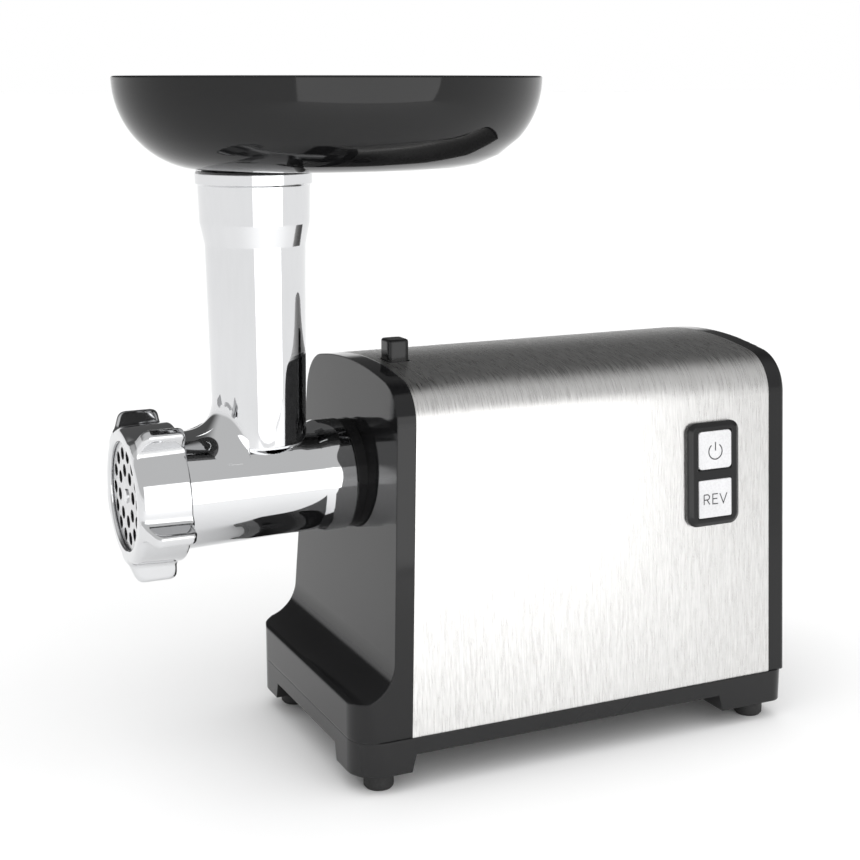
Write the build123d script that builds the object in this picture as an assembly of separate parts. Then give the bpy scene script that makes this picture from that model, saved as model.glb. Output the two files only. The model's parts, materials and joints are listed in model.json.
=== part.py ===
from build123d import *
import math
import os

# Electric meat grinder. Millimetres, +Z up, -Y is the barrel's mouth, +X is the control side.
# The origin is on the table, under the middle of the whole machine.

# Housing outline, seen from the front: drafted sides under a shallow crown.
AXIS_Z = 145.0            # height of the barrel, auger and output shaft
CROWN_Z = 203.0
CROWN_R = 240.0
CORNER_R = 22.0
SHOULDER_HALF = 61.3      # half width at SHOULDER_Z
SHOULDER_Z = 174.0
DRAFT = 0.0766            # widening of each side per millimetre downwards
BASE_TOP = 27.6           # parting line between base and housing
PANEL_Y = -55.0           # front panel at the axis height
STEEL_Y = -45.2           # front edge of the steel wrap at the axis height
LEAN = 0.05               # how far the front leans back per millimetre upwards
STEEL_END = 160.2
REAR_Y = 171.0
WALL = 2.5
STEEL_T = 1.2
LIP = 2.2                 # inner lip that the steel wrap slides over
FOOT_FRONT = -80.0
FOOT_TOP = 47.0
FOOT_BLEND = 20.0
PLAN_R = 15.0

# Base and feet.
BASE_BOTTOM = 19.0
PAD_BOTTOM = 10.0
BASE_HALF = 73.2
FLOOR = 3.0
FEET = [(-60, -64), (60, -64), (-60, 157), (60, 157)]
FOOT_R = 7.5

# Head: feed tube, barrel and bayonet.
TUBE_Y = -101.0
TUBE_FOOT = 165.5          # the feed tube ends flat here, wider than the barrel's back
BARREL_END = -168.0
HEAD_FLANGE = (-72.0, -60.5)
FLANGE_R = 28.2
SPIGOT_R = 24.3
SPIGOT_END = -44.5
LUG_R = 26.5
LUG_Y = (-49.5, -45.5)
LUG_ANGLES = [30, 150, 270]
LUG_SPAN = 30.0
UNLOCK_TURN = 45.0
BORE_R = 22.5
TUBE_TOP = 298.2
THREAD_R = 30.7
THREAD_PITCH = 4.0

# Cutting set.
NUT_FRONT = -171.0
NUT_REAR = -145.5
NUT_LIP = 2.0
NUT_OPENING = 26.4
NUT_BORE = 31.0
WINGS = 5
WING_R = 44.0
PLATE_Y = (-168.9, -163.9)
PLATE_R = 27.0
KNIFE_Y = (-163.6, -159.6)
PIN_R = 3.5
PIN_TIP = -169.6
RUNNING = 0.05            # radial clearance of a running fit
GAP = 0.3                 # clearance between bodies that only pass each other

# Tray.
TRAY_HALF_X = 86.0
TRAY_HALF_Y = 105.5
TRAY_CENTRE_Y = -60.5
TRAY_BOTTOM = 298.5
TRAY_TOP = 342.0
TRAY_WALL = 2.5
TRAY_SWEEP_R = 42.5
NECK_R = 24.2
NECK_BORE = 22.2

# Gear train, from the output shaft down to the motor.
PRESSURE = math.radians(25)
OUT_TEETH = 55
PINION_TEETH = 11
OUT_MODULE = 1.5
IDLER_TEETH = 70
MOTOR_TEETH = 10
MOTOR_MODULE = 0.8
IDLER_Z = AXIS_Z - OUT_MODULE * (OUT_TEETH + PINION_TEETH) / 2
MOTOR_Z = IDLER_Z - MOTOR_MODULE * (IDLER_TEETH + MOTOR_TEETH) / 2
BACKLASH = 0.16
CASE_FRONT = -41.0
CASE_BACK = -8.0
COVER_BACK = -5.0
CASE_WALL = 2.5
SHAFT_R = 12.5
JOURNAL_R = 7.0
IDLER_PIN_R = 4.0
MOTOR_SHAFT_R = 2.5

# Motor.
STACK_Y = (28.0, 68.0)
STACK_HALF = 31.0
BOLT_OFFSET = 25.5
ROTOR_R = 16.4
AIR_GAP = 0.6
COIL_X = 20.4
COIL_Z = 14.5
MOTOR_END = 108.0

# Controls.
TILT = math.degrees(math.atan(DRAFT))
BEZEL_Y = 123.75
BEZEL_Z = 140.0
BEZEL_W = 31.5
BEZEL_H = 54.7
BEZEL_T = 3.5
BUTTON_W = 20.2
BUTTON_PITCH = 25.6
BUTTON_TRAVEL = 2.0
LOCK_X = 8.5              # the release button sits to the control side of the middle
LOCK_Y = (-37.5, -26.0)
LOCK_HALF = 6.0
LOCK_TOP = 213.5
SHELF_Z = (197.4, 198.9)  # shelf of the lock slide, under the button
SPRING_SEAT = (-34.75, 191.5)


def box(x0, x1, y0, y1, z0, z1):
    centre = Pos((x0 + x1) / 2, (y0 + y1) / 2, (z0 + z1) / 2)
    return centre * Box(x1 - x0, y1 - y0, z1 - z0)


def rod_y(radius, y0, y1, x=0.0, z=AXIS_Z):
    return Pos(x, (y0 + y1) / 2, z) * Rot(90, 0, 0) * Cylinder(radius, y1 - y0)


def tube_y(outer, inner, y0, y1, x=0.0, z=AXIS_Z):
    return rod_y(outer, y0, y1, x, z) - rod_y(inner, y0 - 1, y1 + 1, x, z)


def rod_z(radius, z0, z1, x=0.0, y=0.0):
    return Pos(x, y, (z0 + z1) / 2) * Cylinder(radius, z1 - z0)


def prism_y(sketch, y0, y1):
    """Extrudes an X-Z outline from y0 to y1."""
    return extrude(Plane.XZ.offset(-y1) * sketch, amount=y1 - y0)


def prism_x(sketch, x0, x1):
    """Extrudes a Y-Z outline from x0 to x1."""
    return extrude(Plane.YZ.offset(x0) * sketch, amount=x1 - x0)


def polygon(points):
    return make_face(Polyline(*points, close=True))


def polar(radius, degrees, x=0.0, z=AXIS_Z):
    """Point in the X-Z plane at an angle measured from +X towards +Z."""
    turn = math.radians(degrees)
    return x + radius * math.cos(turn), z + radius * math.sin(turn)


def sector_y(outer, inner, y0, y1, middle, span, x=0.0, z=AXIS_Z):
    """Part of a ring about a Y axis, span degrees wide about the angle middle."""
    reach = 2 * outer
    left = polar(reach, middle - span / 2, x, z)
    right = polar(reach, middle + span / 2, x, z)
    wedge = prism_y(polygon([(x, z), left, right]), y0, y1)
    return tube_y(outer, inner, y0, y1, x, z) & wedge


def revolve_z(points, x=0.0, y=0.0):
    """Turns an outline of (radius, z) points about a vertical axis."""
    return Pos(x, y, 0) * revolve(Plane.XZ * polygon(points), Axis.Z)


def revolve_y(points, x=0.0, z=AXIS_Z):
    """Turns an outline of (radius, y) points about an axis along Y."""
    return Pos(x, 0, z) * revolve(Plane.XY * polygon(points), Axis.Y)


# ---------------------------------------------------------------- housing outline

def half_width(z):
    return SHOULDER_HALF + DRAFT * (SHOULDER_Z - z)


def arch(inset, z_low=BASE_TOP):
    """Front outline of the housing, moved inwards by inset."""
    reach = half_width(0) - inset
    radius = CROWN_R - inset
    centre = CROWN_Z - CROWN_R
    b = DRAFT * reach + centre
    a = 1 + DRAFT**2
    z_corner = (b + math.sqrt(b * b - a * (reach**2 + centre**2 - radius**2))) / a
    x_corner = reach - DRAFT * z_corner
    x_low = reach - DRAFT * z_low
    crown = ThreePointArc((x_corner, z_corner), (0, CROWN_Z - inset), (-x_corner, z_corner))
    sides = Polyline((-x_corner, z_corner), (-x_low, z_low), (x_low, z_low), (x_corner, z_corner))
    face = make_face([crown, *sides.edges()])
    corners = face.vertices().filter_by(lambda v: v.Y > z_low + 1)
    return fillet(corners, CORNER_R - inset)


def leaning_slab(y_front, y_back, z_low=BASE_TOP):
    """Slab whose front and back lean like the front panel; the y values are at the axis height."""
    high = CROWN_Z + 10
    low_shift = LEAN * (z_low - AXIS_Z)
    high_shift = LEAN * (high - AXIS_Z)
    outline = [
        (y_front + low_shift, z_low),
        (y_back + low_shift, z_low),
        (y_back + high_shift, high),
        (y_front + high_shift, high),
    ]
    return prism_x(polygon(outline), -100, 100)


def arch_ring(outer, inner, y0, y1, z_low=BASE_TOP):
    return prism_y(arch(outer, z_low), y0, y1) - prism_y(arch(inner, z_low - 1), y0 - 1, y1 + 1)


# ---------------------------------------------------------------- housing parts

def arc_about(centre, radius, start, middle, end):
    """Arc through three directions, in degrees, about a centre."""
    points = []
    for degrees in (start, middle, end):
        turn = math.radians(degrees)
        points.append((centre[0] + radius * math.cos(turn), centre[1] + radius * math.sin(turn)))
    return ThreePointArc(*points)


def front_profile(inset):
    """Side outline of the front housing: leaning panel, concave blend and foot block."""
    def panel(z):
        return PANEL_Y + inset + LEAN * (z - AXIS_Z)

    top = CROWN_Z + 10
    low = BASE_TOP - (1 if inset else 0)
    foot_top = FOOT_TOP - inset
    foot_front = FOOT_FRONT + inset
    blend_r = FOOT_BLEND + inset
    nose_r = 0.8 if inset else 2.2
    tilt = math.degrees(math.atan(LEAN))
    centre_z = foot_top + blend_r
    centre_y = panel(centre_z) - blend_r * math.sqrt(1 + LEAN**2)
    blend = arc_about((centre_y, centre_z), blend_r, -90, -45, -tilt)
    nose = arc_about((foot_front + nose_r, foot_top - nose_r), nose_r, 180, 135, 90)
    edges = [
        Line((0, low), (foot_front, low)),
        Line((foot_front, low), nose @ 0),
        nose,
        Line(nose @ 1, blend @ 0),
        blend,
        Polyline(blend @ 1, (panel(top), top), (0, top), (0, low)),
    ]
    return make_face(Curve() + edges)


def plan_prism(z0, z1, inset=0.0, rear_r=8.0):
    """Vertical prism of the base's plan, with rounded corners."""
    half = BASE_HALF - inset
    y0 = FOOT_FRONT + inset
    y1 = REAR_Y - inset
    plan = Pos(0, (y0 + y1) / 2) * Rectangle(2 * half, y1 - y0)
    front = plan.vertices().group_by(Axis.Y)[0]
    plan = fillet(front, PLAN_R - inset)
    rear = plan.vertices().group_by(Axis.Y)[-1]
    plan = fillet(rear, rear_r - inset)
    return Pos(0, 0, z0) * extrude(plan, amount=z1 - z0)


def front_housing():
    skin = prism_x(front_profile(0), -90, 90) & prism_y(arch(0), -90, 0)
    skin &= plan_prism(BASE_TOP, CROWN_Z + 5)
    hollow = prism_x(front_profile(WALL), -90, 90) & prism_y(arch(WALL, BASE_TOP - 1), -90, 0)
    hollow &= plan_prism(BASE_TOP - 1, CROWN_Z + 5, WALL)
    skin -= hollow
    skin &= leaning_slab(-200, STEEL_Y)
    lip = leaning_slab(STEEL_Y - 4, STEEL_Y + 6) & arch_ring(STEEL_T + 0.1, STEEL_T + 0.1 + LIP, -60, -20)
    lip -= box(LOCK_X - 9, LOCK_X + 9, -46, -20, 185, 210)
    shell = skin + lip
    for x, y in [(-52, -68), (52, -68)]:
        shell += rod_z(4.5, BASE_TOP, FOOT_TOP - 1, x, y)
        shell -= rod_z(1.6, BASE_TOP - 1, BASE_TOP + 12, x, y)
    for x in (-49, 49):
        shell += rod_y(4.5, PANEL_Y + LEAN * 30 + 1, -40, x, 174)
        shell -= rod_y(1.6, -50, -39, x, 174)
    for x, z in collar_screw_places():
        shell += rod_y(4.0, PANEL_Y + LEAN * (z - AXIS_Z) + 1, -50.5, x, z)
        shell -= rod_y(1.5, -52.4, -50, x, z)
    return shell - rod_y(27.5, -65, -45)


def collar_screw_places():
    return [polar(45, angle) for angle in (45, 135, 225, 315)]


def socket_collar():
    """Bayonet socket: a nose through the front panel and a square flange behind it."""
    plate = Rectangle(76, 76)
    plate = fillet(plate.vertices(), 9)
    body = prism_y(Pos(0, AXIS_Z) * plate, -50.5, -47.6)
    body += rod_y(27.5, -59.8, -50) + rod_y(31, -50.5, -44)
    body -= rod_y(24.6, -61, -50)
    body -= rod_y(LUG_R + 0.4, -50.3, -43)
    for angle in LUG_ANGLES:
        entry = angle - UNLOCK_TURN
        body -= sector_y(LUG_R + 0.4, 20, -61, -50, entry, LUG_SPAN + 6)
    for x, z in collar_screw_places():
        body -= rod_y(1.5, -52, -47, x, z)
    return body - box(-4.4, 4.4, -47.1, -43, 110, 122)


def collar_screws():
    screws = []
    for x, z in collar_screw_places():
        screws.append(rod_y(2.7, -47.6, -45.8, x, z) + rod_y(1.5, -52.3, -47.6, x, z))
    return Compound(screws)


def steel_wrap():
    shell = leaning_slab(STEEL_Y, 300) & arch_ring(0, STEEL_T, -80, STEEL_END)
    slot = box(LOCK_X - LOCK_HALF - 0.4, LOCK_X + LOCK_HALF + 0.4, LOCK_Y[0] - 0.4, LOCK_Y[1] + 0.4, 195, 210)
    shell -= fillet(slot.edges().filter_by(Axis.Z), 2.0)
    return shell - side_plane() * Box(25.0, 48.4, 12)


def rear_housing():
    shell = prism_y(arch(0), STEEL_END, REAR_Y)
    rim = shell.edges().filter_by(lambda e: e.center().Y > REAR_Y - 0.01 and e.center().Z > BASE_TOP + 1)
    shell = fillet(rim, 3.0)
    shell -= prism_y(arch(3.0, BASE_TOP - 1), STEEL_END - 1, REAR_Y - 3)
    shell += arch_ring(STEEL_T + 0.1, STEEL_T + 0.1 + LIP, STEEL_END - 8, STEEL_END + 1)
    for row in range(9):
        z = 96 + 8 * row
        slot = Pos(0, z) * SlotOverall(64, 3.2)
        shell -= prism_y(slot, REAR_Y - 5, REAR_Y + 1)
    for x in (-49, 49):
        shell += rod_y(5.0, STEEL_END - 6, REAR_Y - 2, x, 174)
        shell -= rod_y(2.1, STEEL_END - 8, REAR_Y + 1, x, 174)
        shell -= rod_y(3.9, REAR_Y - 3, REAR_Y + 1, x, 174)
        shell += box(x - 4.5, x + 4.5, STEEL_END - 9, REAR_Y - 2, BASE_TOP, 44)
        shell -= rod_z(1.6, BASE_TOP - 1, BASE_TOP + 12, x, STEEL_END - 4)
    shell -= rod_y(6.0, REAR_Y - 5, REAR_Y + 1, -38, 52)
    return shell - rod_y(9.0, REAR_Y - 1.5, REAR_Y + 1, -38, 52)


def cord_gland():
    """Bushing of the cord inlet, flush with the back."""
    body = rod_y(9.0, REAR_Y - 1.5, REAR_Y, -38, 52) + rod_y(6.0, REAR_Y - 6, REAR_Y - 1.5, -38, 52)
    body += rod_y(7.5, REAR_Y - 7, REAR_Y - 3, -38, 52)
    return body - rod_y(3.5, REAR_Y - 8, REAR_Y + 1, -38, 52)


def tie_screws():
    screws = []
    for x in (-49, 49):
        head = rod_y(3.8, REAR_Y - 3, REAR_Y - 0.8, x, 174)
        head -= box(x - 2.6, x + 2.6, REAR_Y - 1.8, REAR_Y, 173.6, 174.4)
        head -= box(x - 0.4, x + 0.4, REAR_Y - 1.8, REAR_Y, 171.4, 176.6)
        screws.append(head + rod_y(1.6, -48, REAR_Y - 3, x, 174))
    return Compound(screws)


def base_plate():
    body = plan_prism(BASE_BOTTOM, BASE_TOP)
    body -= plan_prism(BASE_BOTTOM + FLOOR, BASE_TOP + 1, 3.0)
    for x, y in FEET:
        body += corner_pad(x, y)
    for x, y in base_screw_places():
        body += rod_z(4.5, BASE_BOTTOM, BASE_TOP, x, y)
        body -= rod_z(1.6, PAD_BOTTOM - 1, BASE_TOP + 1, x, y)
        body -= rod_z(3.4, PAD_BOTTOM - 1, BASE_BOTTOM + 2.5, x, y)
    for column in range(7):
        x = -24 + 8 * column
        slot = Pos(x, 58) * Rot(0, 0, 90) * SlotOverall(44, 3)
        body -= Pos(0, 0, BASE_BOTTOM - 1) * extrude(slot, amount=FLOOR + 2)
    return body


def corner_pad(x, y):
    """Block under a corner of the base, with a socket for its rubber foot."""
    side = 1 if x > 0 else -1
    y0, y1 = (FOOT_FRONT - 5, -49) if y < 0 else (128, REAR_Y + 5)
    plan = Pos(side * 60, (y0 + y1) / 2) * Rectangle(36, y1 - y0)
    plan = fillet(plan.vertices(), 4)
    block = Pos(0, 0, BASE_BOTTOM + 1) * extrude(plan, amount=-(BASE_BOTTOM + 1 - PAD_BOTTOM), taper=14)
    block &= plan_prism(PAD_BOTTOM, BASE_BOTTOM + 1)
    return block - rod_z(4.0, PAD_BOTTOM - 1, PAD_BOTTOM + 5, x, y)


def base_screw_places():
    housing = [(-52, -68), (52, -68), (-49, STEEL_END - 4), (49, STEEL_END - 4)]
    inner = [(-19, -33), (19, -33), (-19, MOTOR_END - 5), (19, MOTOR_END - 5)]
    return housing + inner


def base_screws():
    screws = []
    for x, y in base_screw_places():
        head = rod_z(3.2, BASE_BOTTOM + 0.4, BASE_BOTTOM + 2.5, x, y)
        head -= box(x - 2.4, x + 2.4, y - 0.4, y + 0.4, BASE_BOTTOM, BASE_BOTTOM + 1.5)
        head -= box(x - 0.4, x + 0.4, y - 2.4, y + 2.4, BASE_BOTTOM, BASE_BOTTOM + 1.5)
        screws.append(head + rod_z(1.6, BASE_BOTTOM + 2.5, BASE_TOP + 10, x, y))
    return Compound(screws)


def rubber_feet():
    outline = [
        (0, 0.8), (5.0, 0.8), (5.4, 0), (6.6, 0), (FOOT_R, 1.2), (FOOT_R, PAD_BOTTOM),
        (4.0, PAD_BOTTOM), (4.0, PAD_BOTTOM + 4.5), (0, PAD_BOTTOM + 4.5),
    ]
    return Compound([revolve_z(outline, x, y) for x, y in FEET])


# ---------------------------------------------------------------- controls

def side_plane(y=BEZEL_Y, z=BEZEL_Z):
    """Frame on the steel side: local X runs to the rear, Y up the side, Z straight out."""
    out = (math.cos(math.radians(TILT)), 0, math.sin(math.radians(TILT)))
    return Plane(origin=(half_width(z), y, z), x_dir=(0, 1, 0), z_dir=out)


def raised(sketch, low, high):
    return side_plane() * (Pos(0, 0, low) * extrude(sketch, amount=high - low))


def rounded(width, height, radius):
    plate = Rectangle(width, height)
    return fillet(plate.vertices(), radius)


def switch_bezel():
    frame = extrude(rounded(BEZEL_W, BEZEL_H, 5.5), amount=BEZEL_T)
    frame = chamfer(frame.edges().group_by(Axis.Z)[-1], 1.6, 2.2)
    frame += Pos(0, 0, -STEEL_T) * extrude(rounded(24.8, 48.2, 2), amount=STEEL_T)
    for offset in (BUTTON_PITCH / 2, -BUTTON_PITCH / 2):
        frame -= Pos(0, offset, 0) * Box(BUTTON_W + 0.6, BUTTON_W + 0.4, 20)
    return side_plane() * frame


def button(offset, radius):
    """Square push button with a stem that reaches its switch."""
    cap = extrude(rounded(BUTTON_W, BUTTON_W - 0.3, radius), amount=3.9)
    cap = fillet(cap.edges().group_by(Axis.Z)[-1], 0.5)
    cap += Pos(0, 0, -1.5) * extrude(rounded(BUTTON_W, BUTTON_W - 0.3, radius), amount=1.5)
    cap += Pos(0, 0, -3.1) * extrude(Rectangle(BUTTON_W - 4, BUTTON_W - 4), amount=1.6)
    cap += Pos(0, 0, -5.5) * Cylinder(2.0, 5.0)
    return side_plane() * (Pos(0, offset, 0) * cap)


def power_button():
    return button(BUTTON_PITCH / 2, 2.2)


def rev_button():
    return button(-BUTTON_PITCH / 2, 0.8)


def spring(radius, wire, height, turns):
    """Stack of coils: an open ring for each turn, joined by the next one."""
    path = Helix(pitch=(height - wire) / turns, height=height - wire, radius=radius)
    section = Plane(origin=path @ 0, z_dir=path % 0) * Circle(wire / 2)
    return Pos(0, 0, wire / 2) * sweep(section, path, is_frenet=True)


def button_spring(offset):
    coil = spring(4.2, 0.6, 7.0, 4)
    return side_plane() * (Pos(0, offset, -10.3) * coil)


def tact_switches():
    cells = []
    for offset in (BUTTON_PITCH / 2, -BUTTON_PITCH / 2):
        cell = Pos(0, offset, -12.4) * Box(12, 12, 3.6)
        cell += Pos(0, offset, -10.5) * Cylinder(3.0, 0.8)
        cells.append(side_plane() * cell)
    return Compound(cells)


def control_board():
    board = Pos(0, 0, -15.0) * Box(34, 56, 1.6)
    for x in (-14.5, 14.5):
        for y in (-25.5, 25.5):
            board -= Pos(x, y, -15) * Cylinder(1.6, 4)
    return side_plane() * board


def board_frame():
    """Carrier that holds the board behind the bezel and clips under the steel."""
    posts = []
    for x in (-14.5, 14.5):
        for y in (-25.5, 25.5):
            posts.append(Pos(x, y, -7.7) * Cylinder(3.0, 13.0) + Pos(x, y, -15.4) * Cylinder(1.6, 2.4))
    frame = Pos(0, 0, -2.3) * Box(35, 57, 2.0) - Pos(0, 0, -2.3) * Box(25.4, 49, 4)
    for post in posts:
        frame += post
    return side_plane() * frame


def lock_button():
    cap = box(LOCK_X - LOCK_HALF, LOCK_X + LOCK_HALF, *LOCK_Y, SHELF_Z[1] + 0.2, LOCK_TOP)
    cap = fillet(cap.edges().filter_by(Axis.Z), 2.8)
    cap = fillet(cap.edges().group_by(Axis.Z)[-1], 1.3)
    rim = LOCK_HALF + 1.5
    collar = box(LOCK_X - rim, LOCK_X + rim, LOCK_Y[0] - 1.5, LOCK_Y[1] + 1.5, SHELF_Z[1], SHELF_Z[1] + 1.9)
    return cap + collar


def lock_slide():
    """Sheet-metal slide: shelf under the button, ring round the socket, tooth at the bottom."""
    y0, y1 = -46.6, -44.6
    ring = tube_y(39.5, 35.0, y0, y1)
    ring += box(-6, 6, y0, y1, AXIS_Z + 36, SHELF_Z[1])
    ring += box(-6, LOCK_X + LOCK_HALF, y0, LOCK_Y[1], *SHELF_Z)
    return ring + box(-4, 4, y0, y1, AXIS_Z - 37, AXIS_Z - LUG_R - 0.35)


def lock_spring():
    return Pos(0, *SPRING_SEAT) * spring(2.8, 0.6, 5.8, 4)


# ---------------------------------------------------------------- gears and drive

def gear_outline(teeth, module, tooth_at):
    """Involute spur gear outline about the origin, with one tooth centred on tooth_at degrees."""
    pitch_r = teeth * module / 2
    base_r = pitch_r * math.cos(PRESSURE)
    tip_r = pitch_r + 0.8 * module
    root_r = pitch_r - 1.0 * module
    half = math.pi / (2 * teeth) - BACKLASH / (2 * pitch_r) + math.tan(PRESSURE) - PRESSURE
    start = max(base_r, root_r)
    flank = []
    for step in range(4):
        radius = start + (tip_r - start) * step / 3
        roll = math.acos(min(1.0, base_r / radius))
        flank.append((radius, half - (math.tan(roll) - roll)))
    if root_r < base_r:
        flank.insert(0, (root_r, flank[0][1]))
    points = []
    for tooth in range(teeth):
        middle = math.radians(tooth_at) + 2 * math.pi * tooth / teeth
        for radius, angle in flank:
            points.append((radius * math.cos(middle - angle), radius * math.sin(middle - angle)))
        for radius, angle in reversed(flank):
            points.append((radius * math.cos(middle + angle), radius * math.sin(middle + angle)))
    return polygon(points)


def gear(teeth, module, tooth_at, bore, y0, y1, z):
    outline = gear_outline(teeth, module, tooth_at) - Circle(bore)
    return prism_y(Pos(0, z) * outline, y0, y1)


def output_gear():
    body = gear(OUT_TEETH, OUT_MODULE, 270, SHAFT_R, -34, -22, AXIS_Z)
    web = tube_y(36, 17, -38, -31) + tube_y(36, 17, -25, -18)
    return body - web


def output_shaft():
    """Hollow drive shaft: the hex socket takes the auger's tail."""
    body = rod_y(SHAFT_R, -43, -21) + rod_y(JOURNAL_R, -21, COVER_BACK - 0.5)
    socket = prism_y(Pos(0, AXIS_Z) * RegularPolygon(13.5 / 2, 6, major_radius=False), -44, -33.5)
    return body - socket


def output_bushes():
    front = tube_y(15.5, SHAFT_R + RUNNING, CASE_FRONT, -35)
    rear = tube_y(10, JOURNAL_R + RUNNING, -13, COVER_BACK)
    return Compound([front, rear])


def idler_pinion():
    shift = 180 / PINION_TEETH
    return gear(PINION_TEETH, OUT_MODULE, 90 + shift, IDLER_PIN_R + RUNNING, -35, -19.5, IDLER_Z)


def idler_gear():
    body = gear(IDLER_TEETH, MOTOR_MODULE, 270, IDLER_PIN_R + RUNNING, -19.5, -11, IDLER_Z)
    body -= tube_y(25, 10, -20.5, -18, z=IDLER_Z)
    return body - tube_y(25, 10, -13, -10, z=IDLER_Z)


def idler_pin():
    return rod_y(IDLER_PIN_R, CASE_FRONT + 0.5, COVER_BACK, z=IDLER_Z)


def motor_pinion():
    shift = 180 / MOTOR_TEETH
    return gear(MOTOR_TEETH, MOTOR_MODULE, 90 + shift, MOTOR_SHAFT_R, -19.8, -10.4, MOTOR_Z)


def case_outline(grow):
    circles = Sketch() + Pos(0, AXIS_Z) * Circle(44 + grow)
    circles += Pos(0, IDLER_Z) * Circle(31 + grow)
    circles += Pos(0, MOTOR_Z) * Circle(12 + grow)
    return make_hull(circles.edges())


def case_screw_places():
    return [polar(50, a) for a in (20, 160)] + [polar(35.5, a, 0, IDLER_Z) for a in (0, 180)]


def case_ears():
    ears = [Pos(x, z) * Circle(4.5) for x, z in case_screw_places()]
    return case_outline(CASE_WALL) + ears


def gear_case():
    body = prism_y(case_ears(), CASE_FRONT, CASE_BACK)
    body -= prism_y(case_outline(0), CASE_FRONT + 3, CASE_BACK + 1)
    body += rod_y(19, CASE_FRONT, -35.3)
    body -= rod_y(15.5, CASE_FRONT - 1, -34)
    body += rod_y(8, CASE_FRONT, -35.3, z=IDLER_Z)
    body -= rod_y(IDLER_PIN_R, CASE_FRONT + 0.5, -34, z=IDLER_Z)
    for x, z in case_screw_places():
        body -= rod_y(1.6, -22, CASE_BACK + 1, x, z)
    for side in (-1, 1):
        leg = box(side * 19 - 5, side * 19 + 5, CASE_FRONT, CASE_FRONT + 16, BASE_TOP, MOTOR_Z)
        leg -= prism_y(case_outline(0), CASE_FRONT + 3, CASE_BACK + 1)
        body += leg - rod_z(1.6, BASE_TOP - 1, BASE_TOP + 12, side * 19, -33)
    return body + rod_z(4.5, 189, SPRING_SEAT[1] - 0.1, 0, SPRING_SEAT[0])


def gear_cover():
    body = prism_y(case_ears(), CASE_BACK, COVER_BACK)
    body += rod_y(13, -13, CASE_BACK)
    body -= rod_y(10, -14, COVER_BACK + 1)
    body -= rod_y(IDLER_PIN_R, CASE_BACK - 1, COVER_BACK + 1, z=IDLER_Z)
    body -= rod_y(5.5, CASE_BACK - 1, COVER_BACK + 1, z=MOTOR_Z)
    for x, z in case_screw_places():
        body -= rod_y(1.6, CASE_BACK - 1, COVER_BACK + 1, x, z)
    return body


def case_screws():
    screws = []
    for x, z in case_screw_places():
        screws.append(rod_y(2.9, COVER_BACK, COVER_BACK + 2, x, z) + rod_y(1.6, -22, COVER_BACK, x, z))
    return Compound(screws)


# ---------------------------------------------------------------- motor

def motor_corners():
    return [(sx * BOLT_OFFSET, MOTOR_Z + sz * BOLT_OFFSET) for sx in (-1, 1) for sz in (-1, 1)]


def motor_front_bracket():
    plate = rounded(2 * STACK_HALF, 2 * STACK_HALF, 9)
    body = prism_y(Pos(0, MOTOR_Z) * plate, COVER_BACK, COVER_BACK + 3)
    body += rod_y(11, COVER_BACK, 3.5, z=MOTOR_Z)
    body -= rod_y(8, -2, 4.5, z=MOTOR_Z)
    body -= rod_y(6.2, COVER_BACK - 1, -1, z=MOTOR_Z)
    for x, z in motor_corners():
        body += rod_y(4, COVER_BACK, STACK_Y[0], x, z)
        body -= rod_y(1.6, 10, STACK_Y[0] + 1, x, z)
    return body


def motor_bearings():
    rings = []
    for y in (-2.0, 100.0):
        race = tube_y(8, 6.3, y, y + 5, z=MOTOR_Z)
        race += tube_y(6.3, MOTOR_SHAFT_R + RUNNING, y + 0.6, y + 4.4, z=MOTOR_Z)
        rings.append(race)
    return Compound(rings)


def stator_core():
    """Lamination stack with two poles, above and below the rotor."""
    plate = rounded(2 * STACK_HALF, 2 * STACK_HALF, 9) - Circle(ROTOR_R + AIR_GAP)
    for x in (-COIL_X, COIL_X):
        for z in (-COIL_Z, COIL_Z):
            plate -= Pos(x, z) * Rectangle(7, 8.4)
    body = prism_y(Pos(0, MOTOR_Z) * plate, *STACK_Y)
    for x, z in motor_corners():
        body -= rod_y(1.8, STACK_Y[0] - 1, STACK_Y[1] + 1, x, z)
    return body


def field_coils():
    """Two windings, each round one pole of the stator."""
    coils = []
    y0, y1 = STACK_Y[0] - 7, STACK_Y[1] + 7
    for side in (-1, 1):
        coil = Part()
        for x in (-COIL_X, COIL_X):
            z = MOTOR_Z + side * COIL_Z
            coil += box(x - 3, x + 3, y0, y1, z - 3.8, z + 3.8)
        z0, z1 = sorted((MOTOR_Z + side * 14, MOTOR_Z + side * 22))
        for y in (y0, y1 - 6):
            coil += box(-COIL_X - 3, COIL_X + 3, y, y + 6, z0, z1)
        coils.append(coil)
    return Compound(coils)


def motor_rear_bracket():
    plate = rounded(2 * STACK_HALF, 2 * STACK_HALF, 9)
    body = prism_y(Pos(0, MOTOR_Z) * plate, 98, 101)
    body += rod_y(11, 98, MOTOR_END, z=MOTOR_Z)
    body -= rod_y(8, 97, 105, z=MOTOR_Z)
    body -= rod_y(5, 97, MOTOR_END + 1, z=MOTOR_Z)
    for x, z in motor_corners():
        body += rod_y(4, STACK_Y[1], 98, x, z)
        body -= rod_y(1.8, STACK_Y[1] - 1, 102, x, z)
    for side in (-1, 1):
        leg = box(side * 19 - 5, side * 19 + 5, 98, MOTOR_END, BASE_TOP, 33.5)
        body += leg - rod_z(1.6, BASE_TOP - 1, 34.5, side * 19, MOTOR_END - 5)
    return body


def motor_bolts():
    bolts = []
    for x, z in motor_corners():
        bolts.append(rod_y(3.2, 101, 103, x, z) + rod_y(1.6, 12, 101, x, z))
    return Compound(bolts)


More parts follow.
